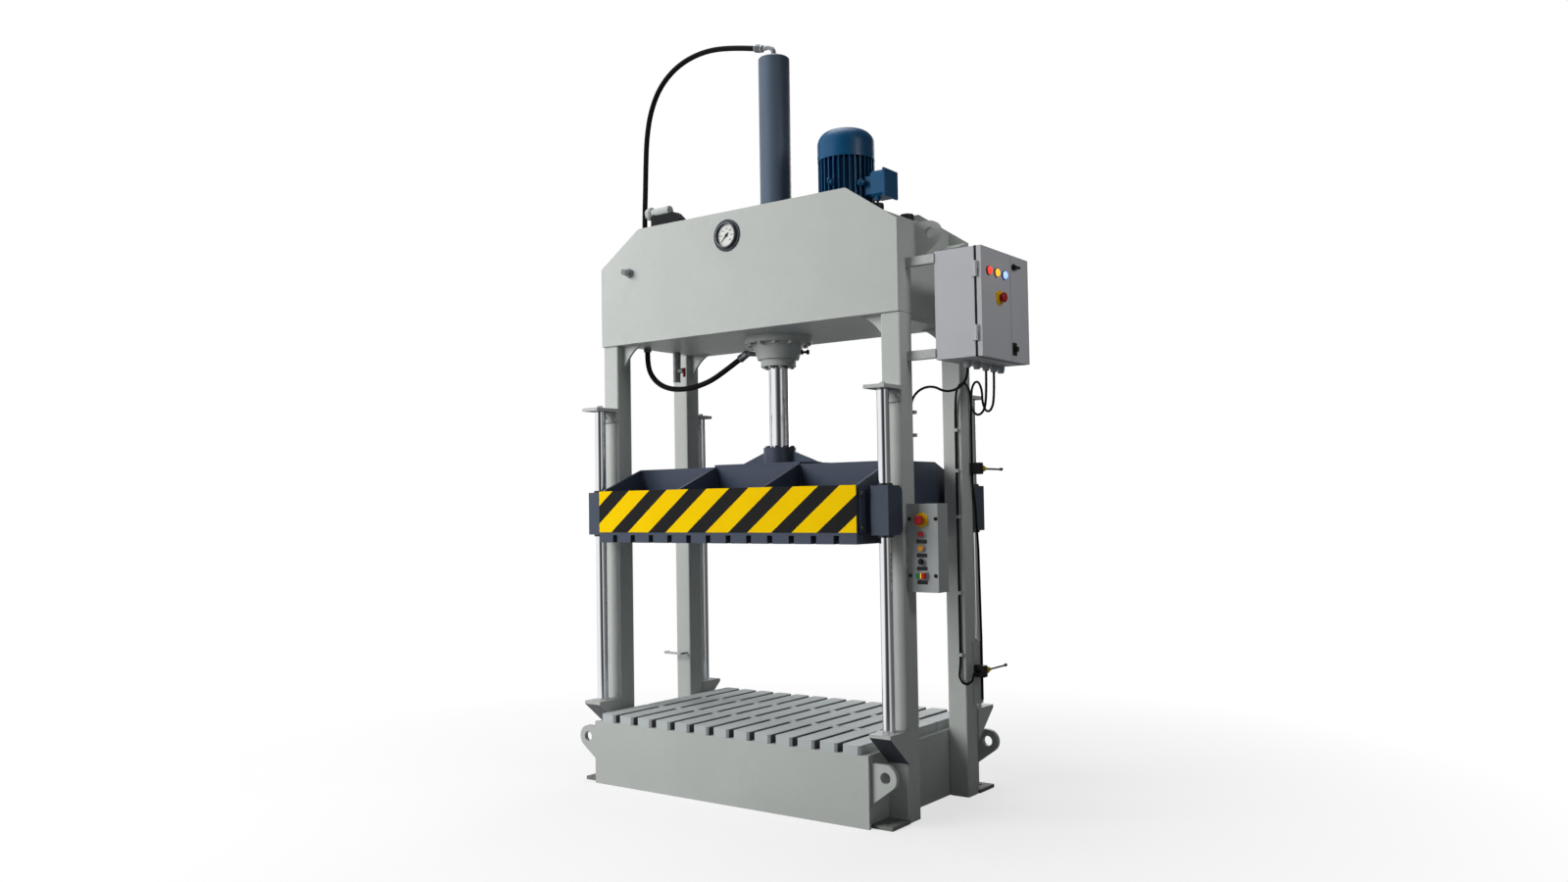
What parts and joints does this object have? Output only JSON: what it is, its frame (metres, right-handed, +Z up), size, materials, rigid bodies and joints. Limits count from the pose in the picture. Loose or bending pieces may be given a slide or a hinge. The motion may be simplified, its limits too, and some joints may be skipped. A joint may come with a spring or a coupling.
{
  "type": "hydraulic baling press",
  "caption": "Four-post hydraulic baling press with a guided down-stroke platen, grooved bed, cylinder and motor on the crosshead, and a side cabinet and operator box",
  "frame": {"origin": "middle of the base on the floor", "axes": "X along the front to the viewer's right, Y to the back, Z up"},
  "size_m": [2.036, 0.9724, 3.4101],
  "materials": {
    "frame_paint": "satin light grey enamel",
    "tank_paint": "satin light grey enamel",
    "platen_paint": "satin slate enamel",
    "cylinder_paint": "satin blue-grey enamel",
    "motor_paint": "gloss blue enamel",
    "cabinet_paint": "textured powder coat",
    "chrome": "ground hard chrome",
    "steel": "zinc plated",
    "cast": "dark cast",
    "bronze": "turned",
    "black_plastic": "matt",
    "hazard": "yellow and black slanting stripes",
    "red_plastic": "gloss",
    "yellow_plastic": "gloss",
    "amber_plastic": "gloss",
    "green_plastic": "gloss",
    "hose_rubber": "smooth black cover"
  },
  "bodies": {
    "frame": {"base_box": "frame_paint", "bed_bars": "frame_paint", "foot_plates": "frame_paint", "lifting_lugs": "frame_paint", "posts": "frame_paint", "head_plates": "frame_paint", "head_walls": "frame_paint", "head_floor": "frame_paint", "oil_tank": "tank_paint", "tank_caps": "black_plastic", "hydraulic_pump": "cast", "cylinder_barrel": "cylinder_paint", "cylinder_head": "frame_paint", "hex_bolts": "steel", "guide_rods": "chrome", "rod_brackets": "frame_paint", "motor_frame": "motor_paint", "fan_cover": "motor_paint", "valve_block": "cast", "hose_fittings": "steel", "gauge_case": "black_plastic", "cabinet_body": "cabinet_paint", "switchgear": "black_plastic", "cable_glands": "black_plastic", "post_fittings": "steel", "control_box": "cabinet_paint", "box_stop_collar": "yellow_plastic", "limit_switches": "black_plastic", "clipped_leads": "hose_rubber", "top_hose": "hose_rubber", "lower_hose": "hose_rubber", "motor_cable": "hose_rubber", "cabinet_cable_a": "hose_rubber", "cabinet_cable_b": "hose_rubber", "cabinet_cable_c": "hose_rubber"},
    "platen": {"platen_sole": "platen_paint", "platen_frame": "platen_paint", "hazard_panel": "hazard", "guide_boxes": "platen_paint", "guide_bushes": "bronze", "ram": "chrome", "ram_collar": "platen_paint"},
    "rotor": {"motor_rotor": "steel"},
    "gauge_pointer": {"gauge_pointer": "red_plastic"},
    "drain_lever": {"drain_lever": "red_plastic"},
    "left_door": {"left_door": "cabinet_paint", "pilot_lamps": "amber_plastic", "door_stop_collar": "yellow_plastic"},
    "door_stop_button": {"door_stop_button": "red_plastic"},
    "right_door": {"right_door": "cabinet_paint"},
    "upper_latch": {"upper_latch": "steel"},
    "lower_latch": {"lower_latch": "steel"},
    "box_stop_button": {"box_stop_button": "red_plastic"},
    "red_button": {"red_button": "red_plastic"},
    "amber_button": {"amber_button": "amber_plastic"},
    "selector_knob": {"selector_knob": "black_plastic"},
    "green_push": {"green_push": "green_plastic"},
    "red_push": {"red_push": "red_plastic"},
    "upper_wand": {"upper_wand": "yellow_plastic"},
    "lower_wand": {"lower_wand": "yellow_plastic"}
  },
  "joints": [
    {"name": "ram_slide", "type": "slide", "parent": "frame", "child": "platen", "axis": [0, 0, 1], "range_m": [-0.7, 0.32]},
    {"name": "rotor_spin", "type": "hinge", "parent": "frame", "child": "rotor", "pos_m": [0.38403, 0, 2.6], "axis": [0, 0, 1], "continuous": true},
    {"name": "pointer_turn", "type": "hinge", "parent": "frame", "child": "gauge_pointer", "pos_m": [-0.045, -0.31, 2.43], "axis": [0, 1, 0], "range_deg": [0, 270], "stiffness_Nm_per_rad": 0.002},
    {"name": "drain_turn", "type": "hinge", "parent": "frame", "child": "drain_lever", "pos_m": [-0.647, 0.092, 1.916], "axis": [1, 0, 0], "range_deg": [0, 90]},
    {"name": "left_door_hinge", "type": "hinge", "parent": "frame", "child": "left_door", "pos_m": [1.121, -0.246, 2.0195], "axis": [0, 0, -1], "range_deg": [0, 110]},
    {"name": "door_stop_press", "type": "slide", "parent": "left_door", "child": "door_stop_button", "axis": [-1, 0, 0], "range_m": [0, 0.005], "stiffness_N_per_m": 800},
    {"name": "right_door_hinge", "type": "hinge", "parent": "frame", "child": "right_door", "pos_m": [1.121, 0.189, 2.0195], "axis": [0, 0, 1], "range_deg": [0, 110]},
    {"name": "upper_latch_turn", "type": "hinge", "parent": "right_door", "child": "upper_latch", "pos_m": [1.142, 0.04081, 2.186], "axis": [1, 0, 0], "range_deg": [0, 90]},
    {"name": "lower_latch_turn", "type": "hinge", "parent": "right_door", "child": "lower_latch", "pos_m": [1.142, 0.04081, 1.856], "axis": [1, 0, 0], "range_deg": [0, 90]},
    {"name": "box_stop_press", "type": "slide", "parent": "frame", "child": "box_stop_button", "axis": [0, 1, 0], "range_m": [0, 0.005], "stiffness_N_per_m": 800},
    {"name": "red_press", "type": "slide", "parent": "frame", "child": "red_button", "axis": [0, 1, 0], "range_m": [0, 0.005], "stiffness_N_per_m": 500},
    {"name": "amber_press", "type": "slide", "parent": "frame", "child": "amber_button", "axis": [0, 1, 0], "range_m": [0, 0.005], "stiffness_N_per_m": 500},
    {"name": "selector_turn", "type": "hinge", "parent": "frame", "child": "selector_knob", "pos_m": [0.879, -0.274, 1.018], "axis": [0, 1, 0], "range_deg": [-45, 45]},
    {"name": "green_press", "type": "slide", "parent": "frame", "child": "green_push", "axis": [0, 1, 0], "range_m": [0, 0.005], "stiffness_N_per_m": 500},
    {"name": "red_push_press", "type": "slide", "parent": "frame", "child": "red_push", "axis": [0, 1, 0], "range_m": [0, 0.005], "stiffness_N_per_m": 500},
    {"name": "upper_wand_bend", "type": "hinge", "parent": "frame", "child": "upper_wand", "pos_m": [0.846, 0.3064, 1.391], "axis": [1, 0, 0], "range_deg": [-15, 15], "stiffness_Nm_per_rad": 12},
    {"name": "lower_wand_bend", "type": "hinge", "parent": "frame", "child": "lower_wand", "pos_m": [0.846, 0.3064, 0.525], "axis": [1, 0, 0], "range_deg": [-15, 15], "stiffness_Nm_per_rad": 12}
  ]
}
